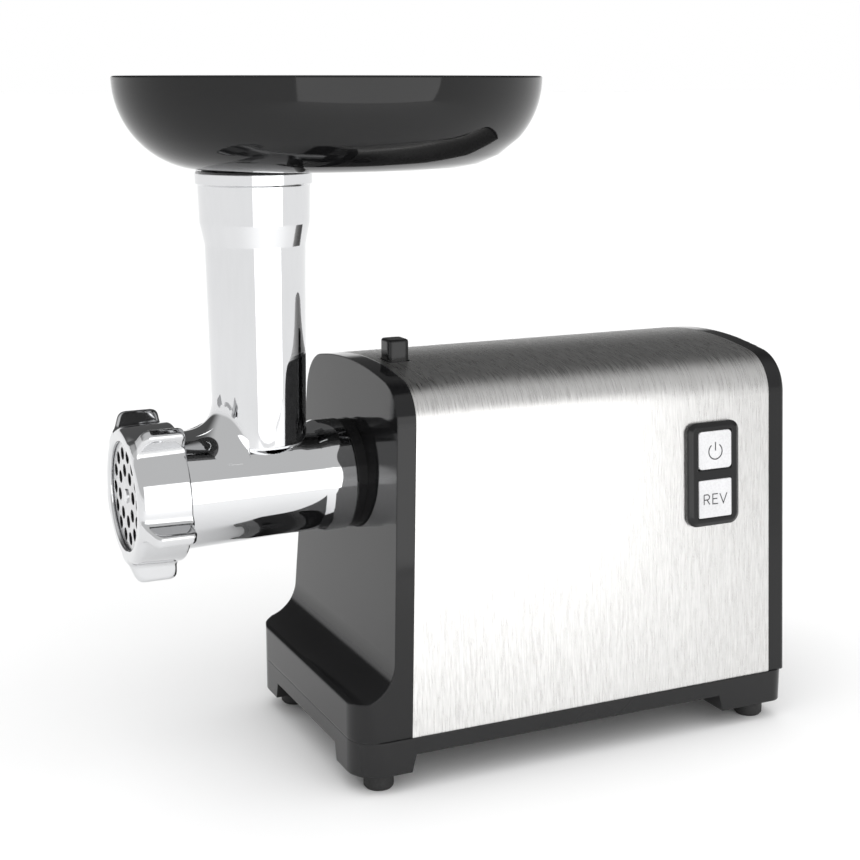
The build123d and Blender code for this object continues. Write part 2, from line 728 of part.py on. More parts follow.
def brush_holders():
    holders = []
    for side in (-1, 1):
        x0, x1 = sorted((side * 13, side * 33))
        tube = box(x0, x1, 83, 93, MOTOR_Z - 5, MOTOR_Z + 5)
        tube -= box(side * 23 - 12, side * 23 + 12, 85, 91, MOTOR_Z - 3, MOTOR_Z + 3)
        tube += box(x0 + 5, x1 - 5, 93, 98, MOTOR_Z - 5, MOTOR_Z + 5)
        holders.append(tube)
    return Compound(holders)


def carbon_brushes():
    brushes = []
    for side in (-1, 1):
        x0, x1 = sorted((side * 11.0, side * 24))
        brush = box(x0, x1, 85, 91, MOTOR_Z - 3, MOTOR_Z + 3)
        brushes.append(brush - rod_y(10.5 + RUNNING, 84, 92, z=MOTOR_Z))
    return Compound(brushes)


def motor_shaft():
    return rod_y(MOTOR_SHAFT_R, -20.5, 106, z=MOTOR_Z)


def rotor_core():
    """Laminated armature with skewless slots."""
    plate = Circle(ROTOR_R) - Circle(MOTOR_SHAFT_R)
    for slot in range(12):
        x, z = polar(ROTOR_R - 2.2, 30 * slot, 0, 0)
        plate -= Pos(x, z) * Circle(1.7)
    return prism_y(Pos(0, MOTOR_Z) * plate, *STACK_Y)


def armature_windings():
    ends = []
    for y0, y1 in ((STACK_Y[0] - 5, STACK_Y[0]), (STACK_Y[1], STACK_Y[1] + 5)):
        end = tube_y(12, MOTOR_SHAFT_R, y0, y1, z=MOTOR_Z)
        ends.append(end)
    return Compound(ends)


def commutator():
    body = tube_y(10.5, MOTOR_SHAFT_R, 79, 96, z=MOTOR_Z)
    for bar in range(24):
        x, z = polar(10.5, 15 * bar, 0, MOTOR_Z)
        body -= rod_y(0.35, 80, 97, x, z)
    return body


def cooling_fan():
    body = tube_y(25, MOTOR_SHAFT_R, 8, 9.5, z=MOTOR_Z) + tube_y(6, MOTOR_SHAFT_R, 8, 18, z=MOTOR_Z)
    blade = box(5, 24.5, 9, 19, MOTOR_Z - 0.7, MOTOR_Z + 0.7)
    for turn in range(9):
        body += blade.rotate(Axis((0, 0, MOTOR_Z), (0, 1, 0)), 40 * turn)
    return body


# ---------------------------------------------------------------- head and cutting set

def tube_outline(inner):
    """Half outline of the feed tube, as (radius, z) points; inner gives its bore."""
    if inner:
        return [(0, AXIS_Z), (20.4, AXIS_Z), (21.7, 262), (24.5, 272), (24.5, 310), (0, 310)]
    return [
        (0, TUBE_FOOT), (21.3, TUBE_FOOT), (22.8, TUBE_FOOT + 1.5), (24.2, 263), (26.4, 273.5),
        (26.9, 291.5), (28.0, 292.3), (28.0, 297.0), (27.4, TUBE_TOP), (0, TUBE_TOP),
    ]


def barrel_outline():
    """Half outline of the barrel, as (radius, y) points from its mouth to the flange."""
    y0, y1 = HEAD_FLANGE
    return [
        (0, BARREL_END), (29.8, BARREL_END), (30.2, BARREL_END + 0.6), (30.2, -147), (29.1, -145.5),
        (27.0, -76), (FLANGE_R, y0), (FLANGE_R, y1), (0, y1),
    ]


def head_casting():
    """One casting: feed tube, barrel, thread, bayonet spigot and lugs."""
    tube = revolve_z(tube_outline(False), 0, TUBE_Y)
    barrel = revolve_y(barrel_outline())
    shell = tube + barrel + prism_x(gusset_outline(), -8, 8)
    for turn in range(4):
        y = BARREL_END + 3 + THREAD_PITCH * turn
        shell += revolve_y([(30.0, y - 1.0), (THREAD_R, y - 0.3), (THREAD_R, y + 0.3), (30.0, y + 1.0)])
    shell += rod_y(SPIGOT_R, HEAD_FLANGE[1] - 1, SPIGOT_END)
    for angle in LUG_ANGLES:
        shell += sector_y(LUG_R, SPIGOT_R - 1, *LUG_Y, angle, LUG_SPAN)
    shell -= box(-4.4, 4.4, LUG_Y[0] - 1, LUG_Y[1] + 1, AXIS_Z - 28, AXIS_Z - SPIGOT_R)
    shell -= revolve_z(tube_outline(True), 0, TUBE_Y)
    shell -= rod_y(BORE_R, BARREL_END - 1, -66.5)
    shell -= rod_y(PLATE_R + GAP, BARREL_END - 1, PLATE_Y[1] + 0.2)
    shell -= rod_y(10.5, -70, -50)
    shell -= rod_y(20, -58, SPIGOT_END + 1)
    key = box(-1.5, 1.5, BARREL_END, PLATE_Y[1] + 0.2, AXIS_Z + 25.6, AXIS_Z + 28)
    return shell + key


def gusset_outline():
    """Side view of the low web at the front of the feed tube, running out along the barrel."""
    low = (TUBE_Y - 41, AXIS_Z + 27.2)
    high = (TUBE_Y - 22.3, AXIS_Z + 33.5)
    sweep = ThreePointArc(low, (TUBE_Y - 31.6, AXIS_Z + 28.65), high)
    back = Polyline(high, (TUBE_Y - 15, high[1]), (TUBE_Y - 15, AXIS_Z + 24), (low[0], AXIS_Z + 24), low)
    return make_face(Curve() + [sweep, back])


def head_bush():
    return tube_y(10.5, 8.0 + RUNNING, -66.5, -57)


def auger():
    """Feed screw with a square for the knife and a pin for the plate."""
    root = Circle(9.5)
    flight = polygon([(0, -6), (21.8, -7.5), (22.6, 0), (21.8, 7.5), (0, 6)]) & Circle(22.0)
    section = root + flight
    turns = Solid.extrude_linear_with_rotation(
        section.face(), center=(0, 0, 0), normal=(0, 0, 88.0), angle=3.0 * 360
    )
    screw = Pos(0, -70, AXIS_Z) * Rot(90, 0, 0) * turns
    square = box(-4, 4, KNIFE_Y[0] - 0.2, -158, AXIS_Z - 4, AXIS_Z + 4)
    pin = rod_y(PIN_R, PIN_TIP, KNIFE_Y[0] - 0.2)
    return Part() + screw + square + pin + rod_y(8, -70, -60)


def auger_drive():
    """Hexagonal tail that plugs into the output shaft."""
    tail = prism_y(Pos(0, AXIS_Z) * RegularPolygon(13.0 / 2, 6, major_radius=False), -54, -34.5)
    return rod_y(8, -60, -54) + tail


def knife():
    """Four-armed blade on the auger's square."""
    body = rod_y(8.5, *KNIFE_Y)
    arm = polygon([(0, -3.6), (20, -3.0), (21, 0.5), (20, 3.4), (0, 4.4)])
    for turn in range(4):
        body += prism_y(Pos(0, AXIS_Z) * Rot(0, 0, 90 * turn) * arm, *KNIFE_Y)
    return body - box(-4.05, 4.05, KNIFE_Y[0] - 1, KNIFE_Y[1] + 1, AXIS_Z - 4.05, AXIS_Z + 4.05)


def cutting_plate():
    disc = Circle(PLATE_R) - Circle(PIN_R + RUNNING)
    for count, radius, start in ((8, 12.4, 8), (14, 20.6, 0)):
        for hole in range(count):
            x, z = polar(radius, start + 360 * hole / count, 0, 0)
            disc -= Pos(x, z) * Circle(3.1)
    disc -= Pos(0, PLATE_R) * Rectangle(3.8, 3.4)
    return prism_y(Pos(0, AXIS_Z) * disc, *PLATE_Y)


def ring_nut():
    """Winged nut that holds the plate against the barrel."""
    outline = [
        (0, NUT_FRONT), (31.0, NUT_FRONT), (32.4, NUT_FRONT + 0.6), (33.0, NUT_FRONT + 2.2),
        (34.0, NUT_REAR - 1), (33.4, NUT_REAR), (0, NUT_REAR),
    ]
    body = revolve_y(outline)
    side = [
        (28, NUT_FRONT + 1.5), (33, NUT_FRONT + 1.5), (WING_R - 1.2, -165.2), (WING_R, -163.6),
        (WING_R, NUT_REAR - 2.4), (WING_R - 2, NUT_REAR - 0.4), (28, NUT_REAR - 0.4),
    ]
    fin = Pos(0, 0, -3.0) * extrude(polygon(side), amount=6.0)
    for wing in range(WINGS):
        angle = -90 + 72 * wing
        body += Pos(0, 0, AXIS_Z) * (Rot(0, -angle, 0) * fin)
    body -= rod_y(NUT_OPENING, NUT_FRONT - 1, NUT_FRONT + 5)
    return body - rod_y(NUT_BORE, NUT_FRONT + NUT_LIP, NUT_REAR + 1)


def bowl(shrink, z_low, z_high, sweep_r):
    oval = Pos(0, TRAY_CENTRE_Y, z_low) * Ellipse(TRAY_HALF_X - shrink, TRAY_HALF_Y - shrink)
    block = extrude(oval, amount=z_high - z_low)
    return fillet(block.edges().group_by(Axis.Z)[0], sweep_r)


def hopper_tray():
    """Oval bowl with a neck that plugs into the feed tube."""
    tray = bowl(0, TRAY_BOTTOM, TRAY_TOP, TRAY_SWEEP_R)
    tray -= bowl(TRAY_WALL, TRAY_BOTTOM + TRAY_WALL, TRAY_TOP + 1, TRAY_SWEEP_R - TRAY_WALL)
    tray += rod_z(NECK_R, 276, TRAY_BOTTOM + 1, 0, TUBE_Y)
    return tray - rod_z(NECK_BORE, 270, TRAY_BOTTOM + 10, 0, TUBE_Y)


NODES = {
    "base_plate": base_plate,
    "rubber_feet": rubber_feet,
    "base_screws": base_screws,
    "front_housing": front_housing,
    "socket_collar": socket_collar,
    "collar_screws": collar_screws,
    "steel_wrap": steel_wrap,
    "rear_housing": rear_housing,
    "tie_screws": tie_screws,
    "cord_gland": cord_gland,
    "switch_bezel": switch_bezel,
    "power_button": power_button,
    "rev_button": rev_button,
    "power_spring": lambda: button_spring(BUTTON_PITCH / 2),
    "rev_spring": lambda: button_spring(-BUTTON_PITCH / 2),
    "tact_switches": tact_switches,
    "control_board": control_board,
    "board_frame": board_frame,
    "lock_button": lock_button,
    "lock_slide": lock_slide,
    "lock_spring": lock_spring,
    "gear_case": gear_case,
    "gear_cover": gear_cover,
    "case_screws": case_screws,
    "output_shaft": output_shaft,
    "output_gear": output_gear,
    "output_bushes": output_bushes,
    "idler_pin": idler_pin,
    "idler_gear": idler_gear,
    "idler_pinion": idler_pinion,
    "motor_pinion": motor_pinion,
    "motor_shaft": motor_shaft,
    "rotor_core": rotor_core,
    "armature_windings": armature_windings,
    "commutator": commutator,
    "cooling_fan": cooling_fan,
    "motor_front_bracket": motor_front_bracket,
    "motor_rear_bracket": motor_rear_bracket,
    "motor_bearings": motor_bearings,
    "motor_bolts": motor_bolts,
    "stator_core": stator_core,
    "field_coils": field_coils,
    "brush_holders": brush_holders,
    "carbon_brushes": carbon_brushes,
    "head_casting": head_casting,
    "head_bush": head_bush,
    "auger": auger,
    "auger_drive": auger_drive,
    "knife": knife,
    "cutting_plate": cutting_plate,
    "ring_nut": ring_nut,
    "hopper_tray": hopper_tray,
}

os.makedirs("parts", exist_ok=True)
for node, make in NODES.items():
    export_step(make(), f"parts/{node}.step")
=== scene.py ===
"""Electric meat grinder: the looks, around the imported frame. Metres, +Z up, barrel mouth towards -Y."""

import json
import math

import bpy
import numpy as np
from mathutils import Euler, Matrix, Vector


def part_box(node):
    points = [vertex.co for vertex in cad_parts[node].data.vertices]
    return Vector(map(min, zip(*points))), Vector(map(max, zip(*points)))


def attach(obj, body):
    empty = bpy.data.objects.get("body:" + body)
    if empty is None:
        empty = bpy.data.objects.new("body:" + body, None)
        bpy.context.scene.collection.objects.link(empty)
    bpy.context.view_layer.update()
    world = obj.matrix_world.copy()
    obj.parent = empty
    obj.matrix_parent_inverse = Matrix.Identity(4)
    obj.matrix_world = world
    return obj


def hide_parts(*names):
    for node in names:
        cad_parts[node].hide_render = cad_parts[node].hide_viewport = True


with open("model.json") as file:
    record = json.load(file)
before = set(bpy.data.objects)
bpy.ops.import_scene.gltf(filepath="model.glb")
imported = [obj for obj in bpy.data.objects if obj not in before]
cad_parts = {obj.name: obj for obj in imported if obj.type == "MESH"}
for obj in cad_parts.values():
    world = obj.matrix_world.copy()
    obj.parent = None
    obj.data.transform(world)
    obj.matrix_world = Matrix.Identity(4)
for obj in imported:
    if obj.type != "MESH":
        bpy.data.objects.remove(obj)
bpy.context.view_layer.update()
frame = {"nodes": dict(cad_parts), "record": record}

NODES = frame["nodes"]


# ---------------------------------------------------------------- shader helpers

class Finish:
    """A Principled material whose patterns are worked out from the object's own coordinates, in metres."""

    def __init__(self, name, colour, roughness, metallic=0.0, **sockets):
        self.material = bpy.data.materials.new(name)
        self.material.use_nodes = True
        self.tree = self.material.node_tree
        self.shader = self.tree.nodes["Principled BSDF"]
        self.shader.inputs["Base Color"].default_value = (*colour, 1.0)
        self.shader.inputs["Roughness"].default_value = roughness
        self.shader.inputs["Metallic"].default_value = metallic
        for socket, value in sockets.items():
            self.shader.inputs[socket.replace("_", " ")].default_value = value
        self.place = self.tree.nodes.new("ShaderNodeTexCoord").outputs["Object"]
        self.last_bump = None

    def link(self, source, target):
        self.tree.links.new(source, target)

    def noise(self, scale, detail=3.0, stretch=(1.0, 1.0, 1.0), roughness=0.55, shift=(0.0, 0.0, 0.0)):
        mapping = self.tree.nodes.new("ShaderNodeMapping")
        mapping.inputs["Scale"].default_value = stretch
        mapping.inputs["Location"].default_value = shift
        self.link(self.place, mapping.inputs["Vector"])
        pattern = self.tree.nodes.new("ShaderNodeTexNoise")
        pattern.inputs["Scale"].default_value = scale
        pattern.inputs["Detail"].default_value = detail
        pattern.inputs["Roughness"].default_value = roughness
        self.link(mapping.outputs["Vector"], pattern.inputs["Vector"])
        return pattern.outputs["Fac"]

    def spread(self, source, low, high, start=0.3, end=0.7):
        ramp = self.tree.nodes.new("ShaderNodeMapRange")
        ramp.inputs["From Min"].default_value = start
        ramp.inputs["From Max"].default_value = end
        ramp.inputs["To Min"].default_value = low
        ramp.inputs["To Max"].default_value = high
        self.link(source, ramp.inputs["Value"])
        return ramp.outputs["Result"]

    def vary_roughness(self, source, low, high, start=0.3, end=0.7):
        self.link(self.spread(source, low, high, start, end), self.shader.inputs["Roughness"])
        return self

    def vary_colour(self, source, dark, light, start=0.3, end=0.7):
        mix = self.tree.nodes.new("ShaderNodeMix")
        mix.data_type = "RGBA"
        mix.inputs["A"].default_value = (*dark, 1.0)
        mix.inputs["B"].default_value = (*light, 1.0)
        self.link(self.spread(source, 0.0, 1.0, start, end), mix.inputs["Factor"])
        self.link(mix.outputs["Result"], self.shader.inputs["Base Color"])
        return self

    def soften_edges(self, radius):
        """Rounds the way light runs over moulded or pressed edges."""
        node = self.tree.nodes.new("ShaderNodeBevel")
        node.samples = 4
        node.inputs["Radius"].default_value = radius
        self.last_bump = node.outputs["Normal"]
        self.link(self.last_bump, self.shader.inputs["Normal"])
        return self

    def bump(self, source, strength, distance):
        node = self.tree.nodes.new("ShaderNodeBump")
        node.inputs["Strength"].default_value = strength
        node.inputs["Distance"].default_value = distance
        self.link(source, node.inputs["Height"])
        if self.last_bump:
            self.link(self.last_bump, node.inputs["Normal"])
        self.last_bump = node.outputs["Normal"]
        self.link(self.last_bump, self.shader.inputs["Normal"])
        return self


def moulded_black(name, colour, smooth, edge=0.0011, ripple=0.02):
    """Injection-moulded black plastic: nearly even gloss, faint flow marks and a few dull patches."""
    finish = Finish(name, colour, smooth, Specular_IOR_Level=0.34)
    finish.soften_edges(edge)
    patches = finish.noise(38.0, 5.0)
    finish.vary_roughness(patches, smooth * 0.8, smooth * 1.3)
    finish.vary_colour(finish.noise(14.0, 2.0), colour, [c * 1.5 for c in colour])
    finish.bump(finish.noise(210.0, 2.0), ripple, 0.0002)
    return finish.material


def brushed_steel():
    """Stainless sheet brushed up the sides and over the roof: short flecks side by side along Y."""
    finish = Finish("brushed_steel", (0.66, 0.655, 0.645), 0.3, 1.0, Anisotropic=0.55)
    tangent = finish.tree.nodes.new("ShaderNodeTangent")
    tangent.direction_type = "RADIAL"
    tangent.axis = "Y"
    finish.link(tangent.outputs["Tangent"], finish.shader.inputs["Tangent"])
    flecks = finish.noise(1.0, 3.0, (95.0, 1150.0, 95.0), 0.6)
    hairs = finish.noise(1.0, 2.0, (160.0, 3600.0, 160.0), 0.5, (4.0, 1.0, 2.0))
    finish.vary_colour(flecks, (0.60, 0.595, 0.585), (0.75, 0.745, 0.735), 0.35, 0.68)
    finish.vary_roughness(flecks, 0.24, 0.36)
    finish.bump(flecks, 0.11, 0.0002)
    finish.bump(hairs, 0.10, 0.0001)
    return finish.material


def chrome(name="chrome", colour=(0.70, 0.705, 0.715), edge=0.0005):
    """Polished plating: mirror-like, with a faint haze where it is handled."""
    finish = Finish(name, colour, 0.03, 1.0)
    finish.soften_edges(edge)
    haze = finish.noise(45.0, 5.0)
    finish.vary_roughness(haze, 0.015, 0.05)
    finish.vary_colour(finish.noise(20.0, 3.0), [c * 0.97 for c in colour], colour)
    finish.bump(finish.noise(70.0, 1.0), 0.006, 0.0003)
    return finish.material


def ground_steel(name, colour, low, high, grain=1600.0):
    """Machined or ground steel: fine grain across the surface and uneven gloss."""
    finish = Finish(name, colour, low, 1.0)
    finish.soften_edges(0.0003)
    fine = finish.noise(1.0, 3.0, (grain, grain * 0.15, grain))
    finish.vary_colour(finish.noise(120.0, 4.0), [c * 0.82 for c in colour], colour)
    finish.vary_roughness(fine, low, high)
    finish.bump(fine, 0.12, 0.0001)
    return finish.material


def moulding(name, colour, low, high, grain=900.0):
    """Plain engineering plastic or rubber: fine grain, slight mottling, soft edges."""
    finish = Finish(name, colour, low)
    finish.soften_edges(0.0004)
    fine = finish.noise(grain, 4.0)
    finish.vary_colour(finish.noise(60.0, 4.0), [c * 0.86 for c in colour], colour)
    finish.vary_roughness(fine, low, high)
    finish.bump(fine, 0.10, 0.0001)
    return finish.material


def stacked_sheets():
    """Motor laminations: thin steel sheets side by side along the shaft."""
    finish = Finish("laminations", (0.3, 0.31, 0.33), 0.4, 1.0)
    sheets = finish.noise(1.0, 1.0, (3.0, 2000.0, 3.0))
    finish.vary_colour(sheets, (0.16, 0.16, 0.17), (0.36, 0.37, 0.39))
    finish.vary_roughness(sheets, 0.3, 0.55)
    finish.bump(sheets, 0.4, 0.0002)
    return finish.material


def wound_copper():
    """Enamelled wire, laid turn beside turn."""
    finish = Finish("copper", (0.6, 0.27, 0.12), 0.3, 1.0)
    turns = finish.noise(1.0, 1.0, (1500.0, 300.0, 1500.0))
    finish.vary_colour(turns, (0.36, 0.14, 0.06), (0.72, 0.36, 0.17))
    finish.vary_roughness(turns, 0.2, 0.4)
    finish.bump(turns, 0.5, 0.0003)
    return finish.material


SLOTS = {
    "black_gloss": moulded_black("black_gloss", (0.006, 0.006, 0.0063), 0.07),
    "black_satin": moulded_black("black_satin", (0.008, 0.008, 0.0083), 0.16, ripple=0.05),
    "tray_black": moulded_black("tray_black", (0.004, 0.004, 0.0042), 0.055, 0.0006),
    "rubber": moulding("rubber", (0.016, 0.016, 0.016), 0.55, 0.8),
    "brushed_steel": brushed_steel(),
    "chrome": chrome(),
    "plate_steel": ground_steel("plate_steel", (0.66, 0.66, 0.67), 0.10, 0.22),
    "button_white": moulding("button_white", (0.66, 0.66, 0.67), 0.22, 0.34),
    "zinc_steel": ground_steel("zinc_steel", (0.6, 0.61, 0.63), 0.25, 0.4),
    "nylon_gear": moulding("nylon_gear", (0.78, 0.77, 0.71), 0.35, 0.5),
    "gear_steel": ground_steel("gear_steel", (0.42, 0.42, 0.43), 0.22, 0.38),
    "grey_nylon": moulding("grey_nylon", (0.17, 0.18, 0.19), 0.4, 0.6),
    "bronze": ground_steel("bronze", (0.62, 0.42, 0.2), 0.3, 0.5),
    "laminations": stacked_sheets(),
    "copper": wound_copper(),
    "carbon": moulding("carbon", (0.035, 0.035, 0.036), 0.5, 0.7),
    "board_green": moulding("board_green", (0.03, 0.17, 0.07), 0.3, 0.5),
    "acetal": moulding("acetal", (0.8, 0.8, 0.78), 0.3, 0.45),
}
LEGEND = moulding("legend_grey", (0.035, 0.036, 0.04), 0.4, 0.6)

for part in frame["record"]["subparts"]:
    shown = NODES[part["node"]].data.materials
    shown.clear()
    shown.append(SLOTS[part["material_slot"]])


# ---------------------------------------------------------------- mesh helpers

def add_piece(name, vertices, faces, slot, rides_on, material=None):
    data = bpy.data.meshes.new(name)
    data.from_pydata([tuple(v) for v in vertices], [], [tuple(f) for f in faces])
    data.polygons.foreach_set("use_smooth", [True] * len(data.polygons))
    data.update()
    made = bpy.data.objects.new(name, data)
    bpy.context.scene.collection.objects.link(made)
    data.materials.append(material or SLOTS[slot])
    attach(made, rides_on)
    return made


def skin(rings):
    """Faces between successive rings of the same number of points, and from the last ring to the first."""
    count = len(rings[0])
    faces = []
    for row in range(len(rings)):
        low = row * count
        high = (row + 1) % len(rings) * count
        for step in range(count):
            after = (step + 1) % count
            faces.append((low + step, low + after, high + after, high + step))
    return [point for ring in rings for point in ring], faces


def smooth_step(value, start, end):
    share = np.clip((value - start) / (end - start), 0.0, 1.0)
    return share * share * (3.0 - 2.0 * share)


def melt(a, b, reach):
    """Union of two distance fields with a fillet; reach is how far the fillet spreads."""
    gap = np.maximum(reach - np.abs(a - b), 0.0) / np.maximum(reach, 1e-9)
    return np.minimum(a, b) - gap * gap * reach * 0.25


def cut(a, b, reach):
    """The space inside both fields, with the edge between them rounded."""
    return -melt(-a, -b, reach)


def slope(field, points, step):
    """Gradient of a field at each point."""
    moves = np.eye(3) * step
    rises = [field(*(points + move).T) - field(*(points - move).T) for move in moves]
    return np.stack(rises, 1) / (2 * step)


def crossed_cells(inside):
    """Cells with corners on both sides of the surface."""
    shape = inside.shape
    count = np.zeros([n - 1 for n in shape], int)
    for corner in range(8):
        i = corner & 1
        j = corner >> 1 & 1
        k = corner >> 2 & 1
        count += inside[i:shape[0] - 1 + i, j:shape[1] - 1 + j, k:shape[2] - 1 + k]
    return (count > 0) & (count < 8)


def crossed_edges(inside, axis):
    """Grid edges along one axis that the surface cuts, leaving out those on the grid's own sides."""
    edge = inside != np.roll(inside, -1, axis)
    for side in range(3):
        ends = [slice(None)] * 3
        ends[side] = 0 if side != axis else -1
        edge[tuple(ends)] = False
        ends[side] = -1
        edge[tuple(ends)] = False
    return np.argwhere(edge)


def surface_quads(inside, number):
    """One face for each cut edge, joining the four cells round it and facing outwards."""
    quads = []
    for axis in range(3):
        at = crossed_edges(inside, axis)
        u = np.eye(3, dtype=int)[(axis + 1) % 3]
        v = np.eye(3, dtype=int)[(axis + 2) % 3]
        quad = np.stack([number[tuple((at - offset).T)] for offset in (u + v, v, 0 * u, u)], 1)
        backwards = ~inside[tuple(at.T)]
        quad[backwards] = quad[backwards][:, ::-1]
        quads.append(quad)
    return np.concatenate(quads)


PULL_TURNS = 10
SMOOTH_TURNS = (3, 6)     # turns that first even out the spacing of the points


def pull_onto(field, points, quads, cell):
    """Moves the points onto the surface in small steps."""
    ends = np.concatenate([quads[:, [i, (i + 1) % 4]] for i in range(4)])
    neighbours = np.bincount(ends[:, 0], minlength=len(points))[:, None]
    for turn in range(PULL_TURNS):
        if turn in SMOOTH_TURNS:
            total = np.zeros_like(points)
            np.add.at(total, ends[:, 0], points[ends[:, 1]])
            points = 0.5 * points + 0.5 * total / neighbours
        rise = slope(field, points, cell * 0.02)
        pull = field(*points.T)[:, None] * rise / np.maximum((rise * rise).sum(1), 0.05)[:, None]
        points = points - np.clip(pull, -0.4 * cell, 0.4 * cell)
    return points


def cast(name, field, low, high, cell, slot, rides_on):
    """A closed piece bounded by the surface where field(x, y, z) is zero, all in metres.
    Each grid cell that the surface crosses gets one vertex, which is then pulled onto the surface."""
    lines = [np.arange(low[i] - cell, high[i] + 2 * cell, cell) for i in range(3)]
    inside = field(*np.meshgrid(*lines, indexing="ij")) < 0
    crossed = crossed_cells(inside)
    number = np.full(crossed.shape, -1)
    number[crossed] = np.arange(crossed.sum())
    points = np.argwhere(crossed) * cell + 0.5 * cell + [line[0] for line in lines]
    quads = surface_quads(inside, number)
    points = pull_onto(field, points, quads, cell)
    made = add_piece(name, points, quads, slot, rides_on)
    normals = slope(field, points, cell * 0.05)
    normals /= np.maximum(np.linalg.norm(normals, axis=1), 1e-9)[:, None]
    made.data.normals_split_custom_set_from_vertices(normals)
    return made


# ---------------------------------------------------------------- places, all read from the frame

NUT_LOW, NUT_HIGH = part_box("ring_nut")
PLATE_LOW, PLATE_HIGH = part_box("cutting_plate")
TRAY_LOW, TRAY_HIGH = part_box("hopper_tray")
AXIS = (PLATE_LOW.z + PLATE_HIGH.z) / 2     # height of the barrel's axis
NECK = next(m for m in frame["record"]["mounts"] if m["name"] == "hopper_neck")
TUBE = Vector(NECK["pos_m"])                # on the feed tube's axis


# ---------------------------------------------------------------- ring nut

NUT_WINGS = 5
WING_HALF = 0.0030        # half a wing's thickness at its tip
WING_ROOT = 0.0280
NUT_WALL_FRONT = 0.0331
NUT_WALL_GROWTH = 0.0009  # how much wider the nut is at its back
NUT_OPENING = 0.0264
NUT_BORE = 0.0310
NUT_BORE_START = 0.0020   # depth of the lip that holds the plate


def nut_field(x, y, z):
    """Cast ring with rounded edges and five tapering wings, open at the front for the plate."""
    radius = np.hypot(x, z - AXIS)
    along = y - NUT_LOW.y
    length = NUT_HIGH.y - NUT_LOW.y
    wall = radius - (NUT_WALL_FRONT + NUT_WALL_GROWTH * along / length)
    field = cut(cut(wall, -along, 0.0042), along - length, 0.0016)
    reach = AXIS - NUT_LOW.z
    for wing in range(NUT_WINGS):
        turn = math.radians(-90 + 360 / NUT_WINGS * wing)
        out = x * math.cos(turn) + (z - AXIS) * math.sin(turn)
        across = np.abs(-x * math.sin(turn) + (z - AXIS) * math.cos(turn))
        lean = np.maximum(out - 0.033, 0.0) * 0.42
        fin = cut(out - reach, 0.0012 + lean - along, 0.0034)
        fin = cut(fin, along - (length - 0.0004), 0.0040)
        fin = cut(fin, across - WING_HALF - 0.09 * (reach - out), 0.0022)
        fin = cut(fin, WING_ROOT - out, 0.0005)
        field = melt(field, fin, 0.0030)
    field = np.maximum(field, 0.00005 - along)
    bore = cut(radius - NUT_BORE, NUT_BORE_START - along, 0.0002)
    field = cut(field, NUT_OPENING - radius, 0.0014)
    return cut(field, -bore, 0.0004)


def ring_nut():
    made = cast("wing_nut", nut_field, NUT_LOW, NUT_HIGH, 0.00062, "chrome", "nut")
    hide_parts("ring_nut")


# ---------------------------------------------------------------- web from the feed tube to the barrel

UNDER_SKIN = 0.00006
HEAD_BORE = 0.0240
TUBE_BORE = 0.0217


def web_field(x, y, z):
    """Saddle at the front of the feed tube; elsewhere it lies just under the casting's skin."""
    barrel = np.hypot(x, z - AXIS) - (0.0270 + 0.0021 * (-0.076 - y) / 0.0695) + UNDER_SKIN
    tube = np.hypot(x, y - TUBE.y) - (0.0225 + 0.0144 * (z - AXIS)) + UNDER_SKIN
    tube = cut(tube, AXIS + 0.0207 - z, 0.002)
    facing = (TUBE.y - y) / np.maximum(np.hypot(x, y - TUBE.y), 1e-6)
    reach = 0.016 * smooth_step(facing, 0.30, 0.90) + 1e-6
    body = melt(tube, barrel, reach)
    body = np.maximum(body, HEAD_BORE - np.hypot(x, z - AXIS))
    body = np.maximum(body, TUBE_BORE - np.hypot(x, y - TUBE.y))
    ahead = TUBE.y - 0.0440 - y
    behind = y - TUBE.y + 0.012
    below = AXIS + 0.0155 - z
    return np.maximum(body, np.maximum(ahead, np.maximum(below, behind)))


def tube_web():
    low = (-0.024, TUBE.y - 0.045, AXIS + 0.015)
    high = (0.024, TUBE.y - 0.010, AXIS + 0.075)
    cast("tube_web", web_field, low, high, 0.0006, "chrome", "head")


# ---------------------------------------------------------------- hopper tray

TRAY_WALL = 0.0025
TRAY_SWEEP = 0.0425
TRAY_FLOOR = TRAY_HIGH.z - 0.0435
NECK_OUT = 0.0242
NECK_IN = 0.0222
NECK_ROUND = 0.00024      # how far the floor starts outside the neck
JOIN_TURN = 48            # degrees up the quarter round where the floor's rings end
RIM_RISE = 0.0008


def tray_ring(inset, z, count):
    half_x = (TRAY_HIGH.x - TRAY_LOW.x) / 2 - inset
    half_y = (TRAY_HIGH.y - TRAY_LOW.y) / 2 - inset
    middle = (TRAY_HIGH.y + TRAY_LOW.y) / 2
    turns = [2 * math.pi * step / count for step in range(count)]
    return [(half_x * math.cos(t), middle + half_y * math.sin(t), z) for t in turns]


def tray_height(x, y, inset, sweep, floor):
    """Height of the bowl's shell over a point: flat in the middle, then a quarter round."""
    half_x = (TRAY_HIGH.x - TRAY_LOW.x) / 2
    half_y = (TRAY_HIGH.y - TRAY_LOW.y) / 2
    y -= (TRAY_HIGH.y + TRAY_LOW.y) / 2
    low, high = 0.0, half_x
    for _ in range(30):
        middle = (low + high) / 2
        outside = (x / (half_x - middle)) ** 2 + (y / (half_y - middle)) ** 2 > 1
        low, high = (low, middle) if outside else (middle, high)
    rest = max(0.0, inset + sweep - low)
    return floor + sweep - math.sqrt(max(0.0, sweep * sweep - rest * rest))


def neck_ring(radius, z, count):
    turns = [2 * math.pi * step / count for step in range(count)]
    return [(radius * math.cos(t), TUBE.y + radius * math.sin(t), z) for t in turns]


